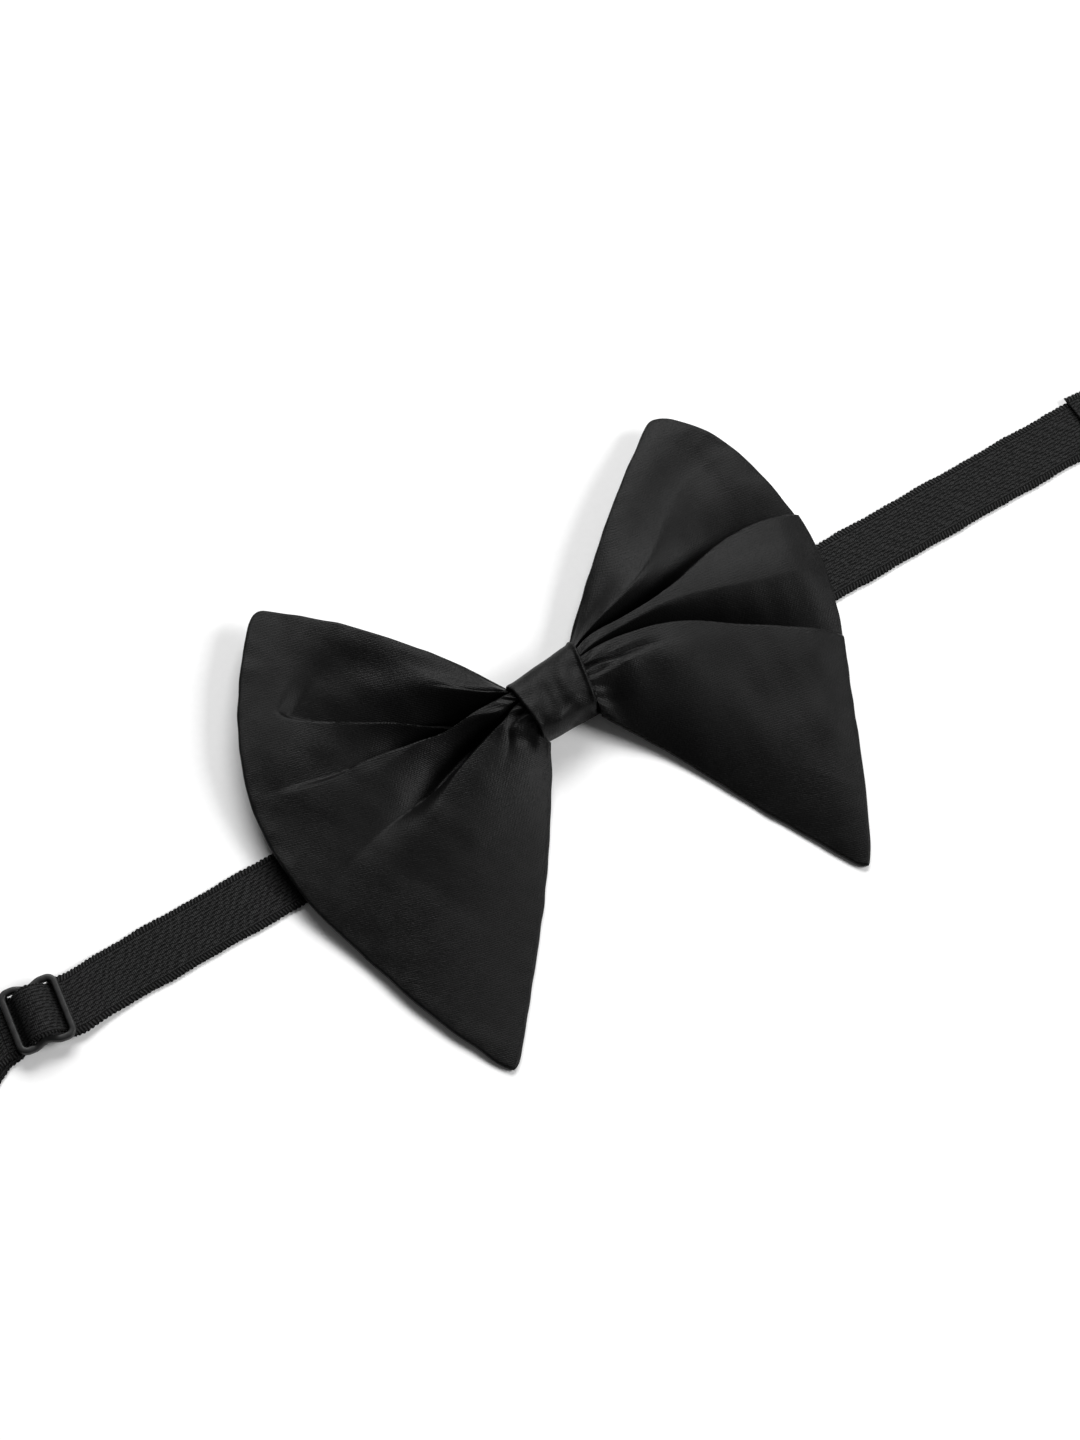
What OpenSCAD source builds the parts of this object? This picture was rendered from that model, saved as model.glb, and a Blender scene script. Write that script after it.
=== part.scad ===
// Pre-tied droopy bow tie on an adjustable elastic neck band, lying on its back.
// X runs along the band, +Y is the side of the short wing tips, +Z faces out of the
// front of the bow. The origin is on the back face of the knot.

/* [Bow] */
// Height of the folds above the lining of a wing
fold_h = 7; // [5:0.5:8]
// Thickness of one satin layer
cloth_t = 0.5; // [0.4:0.05:0.6]
// Thickness of the interlining
inter_t = 0.3; // [0.2:0.05:0.4]

/* [Knot] */
// Length of the knot along the band
knot_len = 16.5; // [15:0.5:18]
// Height of the knot above its back face
knot_h = 13; // [12.5:0.25:14]
// Half width of the knot across the band
knot_half = 8.3; // [8:0.1:9]

/* [Band] */
// Width of the elastic
band_w = 15; // [14:0.5:16]
// Thickness of the elastic
band_t = 0.9; // [0.7:0.1:0.9]

/* [Hardware] */
// Distance of the slider from the knot
slider_x = 142; // [130:1:150]
// Turn of the slider on the band
slider_turn = 9; // [0:1:10]
// Distance of the hook bar from the knot
hook_x = 212; // [205:1:225]
// Distance of the ring bar from the knot
ring_x = 172; // [166:1:185]

/* [Hidden] */
// Left wing edges, from the knot out and from the top down
L_INNER = [[-9.3, 9], [-9.4, 3], [-9.2, -4.5]];
L_TOP = [[-9.3, 9], [-19, 28], [-33.5, 46.5], [-49, 61.5]];
L_BOTTOM = [[-9.2, -4.5], [-15.5, -15.5], [-31, -37.5], [-56, -67]];
L_OUTER = [[-49, 61.5], [-61.5, 47], [-71, 31], [-76.5, 14], [-76, -8], [-71, -26], [-65, -47], [-56, -67]];
// Right wing edges
R_INNER = [[8, 11.5], [8, 4], [7.7, -5]];
R_TOP = [[8, 11.5], [23, 26], [41, 41], [60, 55.5]];
R_BOTTOM = [[7.7, -5], [16, -20.5], [26.5, -43.5], [38.5, -68]];
R_OUTER = [[60, 55.5], [69, 42.5], [73.5, 24], [74, 7], [68.5, -12], [60, -29], [49.5, -50], [38.5, -68]];
// Folds of a wing: the line of the valley from the knot out, its depth along that
// line, and its width above and below the line, as shares of the wing's height
L_FOLDS = [
    [[0.2, 0.38, 0.33, 0.26, 0.2], [2, 5, 4.5, 3, 0], 0.14, 0.1],
    [[0.36, 0.58, 0.6, 0.6, 0.61], [2, 5.5, 4.5, 2, 0], 0.13, 0.05]];
R_FOLDS = [
    [[0.15, 0.26, 0.29, 0.3, 0.33], [2, 5.5, 5, 3.5, 0.5], 0.14, 0.05],
    [[0.33, 0.41, 0.48, 0.54, 0.58], [1, 4, 4, 3, 2], 0.12, 0.06]];
// Grid of a wing: steps from the knot out, and down
NS = 12;
NT = 24;
// Share of the wing that is gathered pleats beside the knot
pleat_share = 0.12;
pleat_gap = 0.003;
// Gap between cloth layers that move apart, and between parts of one body
lift = 0.1;
slack = 0.03;
// Knot section: squareness, and how far the rounded section is cut by the back face
knot_square = 4;
knot_cut = 0.4;
knot_y = 3.2;
knot_x = -0.75;
wrap_t = 0.8;
lining_t = 0.4;
knot_zr = (knot_h + knot_cut) / 2;
knot_zc = knot_zr - knot_cut;
seam_y = 3.2;
seam_w = 1.4;
seam_d = 0.45;
// Levels of the elastic
gathered_top = 2.5;
root_z = 1.7;
bed_z = band_t / 2;
// Half widths of the elastic in the slider and inside the knot
pinched = 6.6;
tucked = 6;
// Where the elastic comes down to the table, and where the left run is divided
seat_x = 20;
split_x = 60;
// Level of the elastic where it enters the slider
entry_z = 1.35;
// Slider: wire, lobes and centre bar
wire_w = 1.4;
wire_lo = 2.15;
wire_hi = 3.85;
lobe_a = 8.3;
pinch_a = 7.3;
slider_half = 7;
bar_z = 3;
bar_r = 0.8;
slider_y = 0.6;
reach = 9.2;
// Hook and ring
turn_z = 1.95;
turn_r = 1.45;
pin_r = 0.85;
frame_a = 9.5;
hook_reach = 5.5;
ring_reach = 9;
// How far the elastic runs back from the hook and from the ring, above and below, and
// how far from the ring its stitching is
hook_run = 14;
ring_top_run = 23.7;
ring_low_run = 27;
ring_stitch = 20;
$fn = 32;

// Smooth curve through points, at u from 0 to 1
function spline(p0, p1, p2, p3, f) =
    0.5 * (2 * p1 + (p2 - p0) * f + (2 * p0 - 5 * p1 + 4 * p2 - p3) * f * f
    + (3 * p1 - p0 - 3 * p2 + p3) * f * f * f);
function curve(pts, u) =
    let (n = len(pts) - 1, k = min(floor(u * n), n - 1))
    spline(k > 0 ? pts[k - 1] : 2 * pts[0] - pts[1], pts[k], pts[k + 1],
        k + 2 <= n ? pts[k + 2] : 2 * pts[n] - pts[n - 1], u * n - k);
function smooth(x) = let (c = max(0, min(1, x))) c * c * (3 - 2 * c);

// Place on a wing, s from the knot to the outer edge and t from top to bottom
function wing_xy(w, s, t) =
    (1 - s) * curve(w[0], t) + s * curve(w[3], t) + (1 - t) * curve(w[1], s) + t * curve(w[2], s)
    - (1 - s) * (1 - t) * w[0][0] - (1 - s) * t * w[0][len(w[0]) - 1]
    - s * (1 - t) * w[3][0] - s * t * w[3][len(w[3]) - 1];
// Height of the back of a wing: it rides over the elastic and rises to the knot
function back_z(s, p) =
    lift + 1.5 * (1 - smooth((abs(p[1]) - 9) / 5)) + 0.9 * pow(max(0, 1 - s / 0.3), 2);
function valley(f, s, t) =
    let (d = t - curve(f[0], s), x = abs(d) / (d < 0 ? f[2] : f[3]))
    curve(f[1], s) * pow(max(0, 1 - x), 1.5);
// Height of the folds over the back; it dies out at the sewn edges
function fold_z(w, s, t) =
    let (edge = smooth(t / 0.12) * smooth((1 - t) / 0.12) * smooth((1 - s) / 0.35),
        puff = fold_h * (1 - 0.35 * s) - valley(w[4][0], s, t) - valley(w[4][1], s, t))
    edge * max(0, puff);

LEFT = [L_INNER, L_TOP, L_BOTTOM, L_OUTER, L_FOLDS];
RIGHT = [R_INNER, R_TOP, R_BOTTOM, R_OUTER, R_FOLDS];

// Closed solid between two heights over a patch of a wing. Each height is a fixed
// rise over the back plus a share of the folds. hand is 1 for the right wing.
module layer(w, hand, s0, s1, ns, lo, hi) {
    function at(i, j, h) =
        let (s = s0 + (s1 - s0) * i / ns, t = j / NT, p = wing_xy(w, s, t))
        [p[0], p[1], back_z(s, p) + h[0] + h[1] * fold_z(w, s, t)];
    row = NT + 1;
    n = (ns + 1) * row;
    pts = concat(
        [for (i = [0 : ns], j = [0 : NT]) at(i, j, lo)],
        [for (i = [0 : ns], j = [0 : NT]) at(i, j, hi)]);
    rim = concat(
        [for (j = [0 : NT - 1]) j],
        [for (i = [0 : ns - 1]) i * row + NT],
        [for (j = [0 : NT - 1]) ns * row + NT - j],
        [for (i = [0 : ns - 1]) (ns - i) * row]);
    m = len(rim);
    cells = [for (i = [0 : ns - 1], j = [0 : NT - 1]) i * row + j];
    lower = [for (c = cells, k = [0, 1])
        k == 0 ? [c, c + 1, c + row + 1] : [c, c + row + 1, c + row]];
    upper = [for (f = lower) [f[2] + n, f[1] + n, f[0] + n]];
    side = [for (k = [0 : m - 1], e = [0, 1])
        let (a = rim[k], b = rim[(k + 1) % m])
        e == 0 ? [b, a, a + n] : [b, a + n, b + n]];
    faces = concat(lower, upper, side);
    polyhedron(pts, hand > 0 ? [for (f = faces) [f[2], f[1], f[0]]] : faces);
}
module wing_layer(w, hand, lo, hi) {
    layer(w, hand, pleat_share + pleat_gap, 1, NS, lo, hi);
}
back_hi = [cloth_t, 0];
inter_hi = [cloth_t + inter_t, 1];
front_hi = [2 * cloth_t + inter_t, 1];
module wing_back(w, hand) {
    wing_layer(w, hand, [0, 0], back_hi);
}
module wing_interlining(w, hand) {
    wing_layer(w, hand, [cloth_t, 1], inter_hi);
}
module wing_front(w, hand) {
    wing_layer(w, hand, inter_hi, front_hi);
}
module pleats(w, hand) {
    layer(w, hand, 0, pleat_share, 3, [0, 0], front_hi);
}

// Section of the knot, drawn in Y and Z and shrunk by inset
module knot_section(inset) {
    a = knot_half - inset;
    b = knot_zr - inset;
    function bulge(v) = sign(v) * pow(abs(v), 2 / knot_square);
    translate([knot_y, knot_zc])
        polygon([for (k = [0 : 5 : 355]) [a * bulge(cos(k)), b * bulge(sin(k))]]);
}
module along_knot(len) {
    translate([knot_x - len / 2, 0, 0])
        rotate([90, 0, 90])
            linear_extrude(len) children();
}
module knot_tube(outer, inner, floor_z, len) {
    along_knot(len) difference() {
        intersection() {
            knot_section(outer);
            translate([-30, floor_z]) square([60, 60]);
        }
        intersection() {
            knot_section(inner);
            translate([-30, floor_z + inner - outer]) square([60, 60]);
        }
    }
}
module knot_wrap() {
    color("#1c1c1e") difference() {
        knot_tube(0, wrap_t, 0, knot_len);
        translate([knot_x - knot_len, seam_y - seam_w / 2, -1]) cube([2 * knot_len, seam_w, 1 + seam_d]);
    }
}
module knot_lining() {
    color("#2a2a2c") knot_tube(wrap_t + slack, wrap_t + lining_t, wrap_t + slack, knot_len - 1);
}
// Hand stitches that close the wrap, sunk in the groove at the back
module knot_stitches() {
    pitch = knot_len / 7;
    color("#101012")
        for (k = [-3 : 3])
            translate([knot_x + k * pitch, seam_y, 0.25])
                rotate([0, 0, 25])
                    cube([0.35, seam_w * 0.8, 0.3], center = true);
}
core_inset = wrap_t + lining_t + slack;
thread_t = 0.4;
module waist_core() {
    color("#161618") along_knot(knot_len - 0.2) intersection() {
        knot_section(core_inset + thread_t + slack);
        translate([-30, gathered_top + slack]) square([60, 60]);
    }
}
// Three turns of thread that draw the pleats together
module gather_thread() {
    color("#0c0c0d")
        for (k = [-1 : 1])
            translate([k * 1.5, 0, 0]) along_knot(0.5) difference() {
                intersection() {
                    knot_section(core_inset);
                    translate([-30, gathered_top + slack]) square([60, 60]);
                }
                knot_section(core_inset + thread_t);
            }
}
module band_centre() {
    color("#18181a") along_knot(knot_len) intersection() {
        knot_section(core_inset);
        translate([-30, core_inset]) square([60, gathered_top - core_inset]);
    }
}

// Ribbon of constant thickness along a path in a vertical plane
function turned(v) = let (n = norm(v)) [-v[1] / n, v[0] / n];
function normal_at(p, i) =
    turned(p[min(i + 1, len(p) - 1)] - p[max(i - 1, 0)]);
module ribbon(path, t) {
    n = len(path);
    polygon(concat(
        [for (i = [0 : n - 1]) path[i] + normal_at(path, i) * t / 2],
        [for (i = [n - 1 : -1 : 0]) path[i] - normal_at(path, i) * t / 2]));
}
// A ribbon path swept across the band, then cut to a plan outline
module strap(path, plan) {
    intersection() {
        translate([0, 20, 0]) rotate([90, 0, 0]) linear_extrude(40) ribbon(path, band_t);
        translate([0, 0, -5]) linear_extrude(20) polygon(plan);
    }
}
// Plan corner in the slider's own turned frame: b along the band, a across it
function on_slider(b, a) =
    [-slider_x + b * cos(slider_turn) + a * sin(slider_turn),
    slider_y - b * sin(slider_turn) + a * cos(slider_turn)];
half = band_w / 2;
band_color = "#1b1b1d";
// Start of the free elastic, just outside the knot
function fold_x(hand) = knot_len / 2 + hand * knot_x + 0.3;
function root_path(hand) = [[hand * fold_x(hand), root_z], [hand * (fold_x(hand) + 1), root_z],
    [hand * seat_x, bed_z], [hand * (seat_x + 3), bed_z]];
function root_plan(hand, end) = [[hand * fold_x(hand), knot_y - tucked], [hand * 30, -half],
    [hand * end, -half], [hand * end, half], [hand * 30, half], [hand * fold_x(hand), knot_y + tucked]];
module band_left() {
    color(band_color)
        strap(concat(root_path(-1), [[-split_x, bed_z]]), root_plan(-1, split_x));
}
run_end = on_slider(reach, 0)[0];
module band_left_run() {
    color(band_color)
        strap([[-split_x - slack, bed_z], [run_end + 14, bed_z], [run_end + 11, bed_z],
            [run_end + 2, entry_z], [run_end - 3, entry_z]],
            [[-split_x - slack, -half], [-split_x - slack, half], [run_end + 9, half],
            on_slider(reach, pinched), on_slider(reach, -pinched), [run_end + 9, -half]]);
}
// Pieces that sit in the slider, built square and then turned with it
module at_slider() {
    translate([-slider_x, slider_y, 0])
        rotate([0, 0, -slider_turn]) children();
}
module across(a, path, t) {
    translate([0, a, 0]) rotate([90, 0, 0]) linear_extrude(2 * a) ribbon(path, t);
}
upper_z = bed_z + band_t + slack;
module band_hump() {
    path = [[reach - slack, entry_z], [6.2, entry_z], [5, 1.5], [4.1, 2.5], [3.2, 3.7], [1.9, 4.95], [0, 5.4],
        [-1.9, 5.05], [-3.2, 4], [-4.2, 2.7], [-5, 1.75], [-6.2, upper_z], [-reach, upper_z]];
    color(band_color) at_slider() across(pinched, path, band_t);
}
// One side of the slider's outline from the waist to the end of a lobe
function lobe(k) = pinch_a + (lobe_a - pinch_a) * smooth(k / 3.5);
module slider_outline(inset) {
    corner = 2.4;
    steps = [-4.5 : 0.5 : 4.5];
    arc = [0 : 15 : 90];
    top = [for (b = steps) [b, lobe(abs(b)) - inset]];
    r = corner - inset;
    bend = [for (k = arc) [slider_half - corner + r * sin(k), lobe_a - corner + r * cos(k)]];
    half_line = concat([for (p = top) if (p[0] >= 0) p], bend);
    upper = concat([for (i = [len(half_line) - 1 : -1 : 1]) [-half_line[i][0], half_line[i][1]]], half_line);
    polygon(concat(upper, [for (i = [len(upper) - 1 : -1 : 0]) [upper[i][0], -upper[i][1]]]));
}
module slider() {
    color("#2b2c2e") at_slider() {
        translate([0, 0, wire_lo])
            linear_extrude(wire_hi - wire_lo) difference() {
                slider_outline(0);
                slider_outline(wire_w);
            }
        translate([0, pinch_a - wire_w / 2, bar_z])
            rotate([90, 0, 0]) cylinder(h = 2 * pinch_a - wire_w, r = bar_r);
    }
}
wrap_half = pinch_a - wire_w - 0.3;
// Free end of the elastic, wrapped round the centre bar and turned down on itself
module slider_end_fold() {
    r = bar_r + slack + band_t / 2;
    path = concat([[-reach, bed_z], [-5, bed_z], [-3, 0.75], [-1.4, 1.4]],
        [for (k = [-90 : 15 : 195]) [r * cos(k), bar_z + r * sin(k)]],
        [[-1.9, 2.2], [-2.7, 1.72], [-3.6, 1.55]]);
    color(band_color) at_slider() across(wrap_half, path, band_t * 0.85);
}
module slider_bartack() {
    color("#0d0d0e") at_slider()
        translate([-3.25, 0, 2.18]) cube([0.8, 9, 0.25], center = true);
}
loop_end_x = hook_x - hook_run;
start_x = on_slider(-reach, 0)[0];
function loop_plan(a) = [[-loop_end_x, -half], [start_x - 12, -half], on_slider(-reach - slack, -a),
    on_slider(-reach - slack, a), [start_x - 12, half], [-loop_end_x, half]];
module band_loop_upper() {
    color(band_color)
        strap([[-loop_end_x, upper_z], [start_x, upper_z], [start_x + 3, upper_z]],
            loop_plan(pinched));
}
module band_loop_lower() {
    color(band_color)
        strap([[-loop_end_x, bed_z], [start_x, bed_z], [start_x + 3, bed_z]],
            loop_plan(wrap_half));
}
// Elastic turned round a bar: hand -1 on the left, 1 on the right. The top layer
// runs back by top_run, the bottom layer by low_run.
function turn_path(x, hand, top_run, low_run) = concat(
    [[x - hand * low_run, bed_z], [x - hand * 4, bed_z + 0.02]],
    [for (k = [-90 : 15 : 90]) [x + hand * turn_r * cos(k), turn_z + turn_r * sin(k)]],
    [[x - hand * 4, 2.9], [x - hand * 9, 1.7], [x - hand * 11, upper_z + 0.02], [x - hand * top_run, upper_z]]);
module turned_band(x, hand, top_run, low_run) {
    translate([0, half, 0]) rotate([90, 0, 0]) linear_extrude(band_w)
        ribbon(turn_path(x, hand, top_run, low_run), band_t);
}
module band_loop_turn() {
    color(band_color) turned_band(-hook_x, -1, hook_run - slack, hook_run - slack);
}
module band_right() {
    color(band_color)
        strap(concat(root_path(1), [[ring_x - ring_low_run, bed_z]]), root_plan(1, ring_x - ring_low_run));
}
module band_right_fold() {
    color(band_color) turned_band(ring_x, 1, ring_top_run, ring_low_run - slack);
}
module ring_bartack() {
    color("#0d0d0e") translate([ring_x - ring_stitch, 0, 2 * band_t + slack + 0.13])
        cube([1, 13, 0.22], center = true);
}
module cross_pin(x, z, r, a) {
    translate([x, a, z]) rotate([90, 0, 0]) cylinder(h = 2 * a, r = r);
}
// Wire frame round one bar: two rails out to a far bar
module wire_frame(x, hand, out) {
    for (side = [-1, 1])
        translate([min(x, x + hand * out), side * (frame_a - pin_r) - pin_r, turn_z - pin_r])
            cube([out, 2 * pin_r, 2 * pin_r]);
    for (at = [x, x + hand * out])
        cross_pin(at, turn_z, pin_r, frame_a);
}
// Neck hook: a frame for the elastic and a flat tongue bent back over itself
module hook() {
    tongue = 4;
    x = -hook_x - hook_reach;
    path = concat([[x, turn_z]],
        [for (k = [-90 : -18 : -270]) [x - 7 + 1.6 * cos(k), turn_z + 1.6 + 1.6 * sin(k)]],
        [[x - 3, turn_z + 3.2], [x - 1.5, turn_z + 3.7]]);
    color("#303133") {
        wire_frame(-hook_x, -1, hook_reach);
        translate([0, tongue, 0]) rotate([90, 0, 0]) linear_extrude(2 * tongue) ribbon(path, 0.9);
    }
}
module ring() {
    color("#303133") wire_frame(ring_x, 1, ring_reach);
}

module wing_left_front() { color("#1d1d1f") wing_front(LEFT, -1); }
module wing_left_interlining() { color("#3a3a3c") wing_interlining(LEFT, -1); }
module wing_left_back() { color("#19191b") wing_back(LEFT, -1); }
module wing_right_front() { color("#1d1d1f") wing_front(RIGHT, 1); }
module wing_right_interlining() { color("#3a3a3c") wing_interlining(RIGHT, 1); }
module wing_right_back() { color("#19191b") wing_back(RIGHT, 1); }
module pleats_left() { color("#1a1a1c") pleats(LEFT, -1); }
module pleats_right() { color("#1a1a1c") pleats(RIGHT, 1); }

wing_left_front();
wing_left_interlining();
wing_left_back();
wing_right_front();
wing_right_interlining();
wing_right_back();
pleats_left();
pleats_right();
waist_core();
gather_thread();
knot_wrap();
knot_lining();
knot_stitches();
band_centre();
band_left();
band_left_run();
band_hump();
slider();
slider_end_fold();
slider_bartack();
band_loop_upper();
band_loop_lower();
band_loop_turn();
hook();
band_right();
band_right_fold();
ring_bartack();
ring();
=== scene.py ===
"""A droopy black satin bow tie on an elastic neck band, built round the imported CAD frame."""

import math
import random

import bmesh
import bpy
import numpy as np
from mathutils import Matrix, Vector


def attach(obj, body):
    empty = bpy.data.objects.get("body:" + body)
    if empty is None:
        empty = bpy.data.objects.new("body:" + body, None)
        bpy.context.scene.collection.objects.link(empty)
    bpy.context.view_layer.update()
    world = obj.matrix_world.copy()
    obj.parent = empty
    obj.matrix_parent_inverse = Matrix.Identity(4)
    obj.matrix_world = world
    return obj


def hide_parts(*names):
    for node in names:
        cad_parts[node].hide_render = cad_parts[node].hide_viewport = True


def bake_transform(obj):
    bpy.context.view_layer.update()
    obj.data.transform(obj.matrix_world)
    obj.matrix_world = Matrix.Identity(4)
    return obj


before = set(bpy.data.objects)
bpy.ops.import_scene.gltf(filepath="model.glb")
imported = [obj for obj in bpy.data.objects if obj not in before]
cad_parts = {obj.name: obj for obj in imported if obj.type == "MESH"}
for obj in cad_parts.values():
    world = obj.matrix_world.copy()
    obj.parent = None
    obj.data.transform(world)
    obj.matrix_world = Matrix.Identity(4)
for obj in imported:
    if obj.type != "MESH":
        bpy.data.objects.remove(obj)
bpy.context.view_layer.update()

MM = 0.001  # lengths below are in millimetres, and meshes are in metres


# ---------------------------------------------------------------- curves and noise

def spline(points, u):
    """Catmull-Rom curve through points, at every u from 0 to 1."""
    p = np.asarray(points, float)
    if p.ndim == 1:
        p = p[:, None]
    n = len(p) - 1
    x = np.clip(np.asarray(u, float), 0, 1) * n
    k = np.minimum(x.astype(int), n - 1)
    f = (x - k)[..., None]
    b, c = p[k], p[k + 1]
    a = np.where((k > 0)[..., None], p[np.maximum(k - 1, 0)], 2 * b - c)
    d = np.where((k < n - 1)[..., None], p[np.minimum(k + 2, n)], 2 * c - b)
    out = 0.5 * (2 * b + (c - a) * f + (2 * a - 5 * b + 4 * c - d) * f ** 2
                 + (3 * b - a - 3 * c + d) * f ** 3)
    return out[..., 0] if out.shape[-1] == 1 else out


def smooth(x):
    """Eases from 0 to 1 as x goes from 0 to 1."""
    x = np.clip(x, 0, 1)
    return x * x * (3 - 2 * x)


def ripples(x, y, length, seed, waves=9):
    """Soft random undulation between about -1 and 1, with bumps about length apart."""
    rng = random.Random(seed)
    out = np.zeros_like(x)
    for _ in range(waves):
        turn = rng.uniform(0, math.pi)
        k = 2 * math.pi / (length * rng.uniform(0.7, 1.6))
        along = x * math.cos(turn) + y * math.sin(turn)
        out = out + np.sin(k * along + rng.uniform(0, 2 * math.pi))
    return out / math.sqrt(waves * 2)


# ---------------------------------------------------------------- meshes

def mesh_object(name, verts, faces, material, uv=None):
    """A mesh object from points in millimetres. uv gives one pair for each vertex."""
    me = bpy.data.meshes.new(name)
    me.from_pydata([tuple(v) for v in np.asarray(verts, float) * MM], [], faces)
    me.update()
    if uv is not None:
        layer = me.uv_layers.new(name="weave")
        index = np.empty(len(me.loops), int)
        me.loops.foreach_get("vertex_index", index)
        layer.data.foreach_set("uv", np.asarray(uv, float)[index].ravel())
    me.polygons.foreach_set("use_smooth", [True] * len(me.polygons))
    ob = bpy.data.objects.new(name, me)
    bpy.context.scene.collection.objects.link(ob)
    me.materials.append(material)
    return ob


def grid_faces(rows, columns, wrap_rows=False, wrap_columns=False):
    """Quads of a grid whose vertices run along each row in turn."""
    faces = []
    for i in range(rows if wrap_rows else rows - 1):
        for j in range(columns if wrap_columns else columns - 1):
            a, b = i * columns + j, i * columns + (j + 1) % columns
            c = (i + 1) % rows * columns + (j + 1) % columns
            d = (i + 1) % rows * columns + j
            faces.append((a, b, c, d))
    return faces


def tube_faces(rings, columns):
    """Faces of a tube whose vertices run round each ring in turn, closed at both ends."""
    faces = grid_faces(rings, columns, False, True)
    faces.append(tuple(range(columns - 1, -1, -1)))
    faces.append(tuple(range((rings - 1) * columns, rings * columns)))
    return faces


def sweep(path, section, across=None, closed=False):
    """Rings of a section swept along a path. across is the section's first axis at each
    point; left out, it is kept square to the path and as level as it can be."""
    path = np.asarray(path, float)
    if closed:
        tangent = np.roll(path, -1, 0) - np.roll(path, 1, 0)
    else:
        tangent = np.gradient(path, axis=0)
    tangent /= np.linalg.norm(tangent, axis=1)[:, None]
    if across is None:
        across = np.cross(np.array([0, 0, 1.0]), tangent)
        upright = np.linalg.norm(across, axis=1) < 1e-6
        across[upright] = (0, 1, 0)
    across = across / np.linalg.norm(across, axis=1)[:, None]
    out = np.cross(tangent, across)
    sideways = across[:, None] * section[None, :, :1]
    outwards = out[:, None] * section[None, :, 1:]
    return (path[:, None] + sideways + outwards).reshape(-1, 3)


def swept_object(name, path, section, material, across=None, closed=False):
    """A closed bar, tube or wire of the given section along the path."""
    path, section = np.asarray(path, float), np.asarray(section, float)
    n, m = len(path), len(section)
    faces = grid_faces(n, m, True, True) if closed else tube_faces(n, m)
    return mesh_object(name, sweep(path, section, across, closed), faces, material)


def around(count):
    """Angles once round."""
    return np.linspace(0, 2 * math.pi, count, endpoint=False)


def round_section(radius, sides):
    """The section of a round wire or thread."""
    turn = around(sides)
    return np.c_[np.cos(turn), np.sin(turn)] * radius


def soft_rectangle(half_a, half_b, power, sides):
    """A rectangle whose corners are rounder the lower the power is."""
    turn = around(sides)
    c, s = np.cos(turn), np.sin(turn)
    a = half_a * np.sign(c) * abs(c) ** (2 / power)
    b = half_b * np.sign(s) * abs(s) ** (2 / power)
    return np.c_[a, b]


def even(path, step):
    """Points at an even step along a dense path, and how far along it each one is."""
    path = np.asarray(path, float)
    run = np.r_[0, np.cumsum(np.linalg.norm(np.diff(path[:, :3], axis=0), axis=1))]
    count = max(2, int(round(run[-1] / step)))
    at = np.linspace(0, run[-1], count + 1)
    points = np.column_stack([np.interp(at, run, path[:, k]) for k in range(path.shape[1])])
    return points, at


def join(name, parts):
    """Several objects as one, in the first one's material slots."""
    bpy.ops.object.select_all(action="DESELECT")
    for part in parts:
        part.select_set(True)
    bpy.context.view_layer.objects.active = parts[0]
    bpy.ops.object.join()
    parts[0].name = name
    parts[0].data.name = name
    return parts[0]


def outward(ob):
    """Turns every face of a closed piece outwards."""
    bm = bmesh.new()
    bm.from_mesh(ob.data)
    bmesh.ops.recalc_face_normals(bm, faces=bm.faces)
    bm.to_mesh(ob.data)
    bm.free()
    return ob


# ---------------------------------------------------------------- materials

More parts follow.
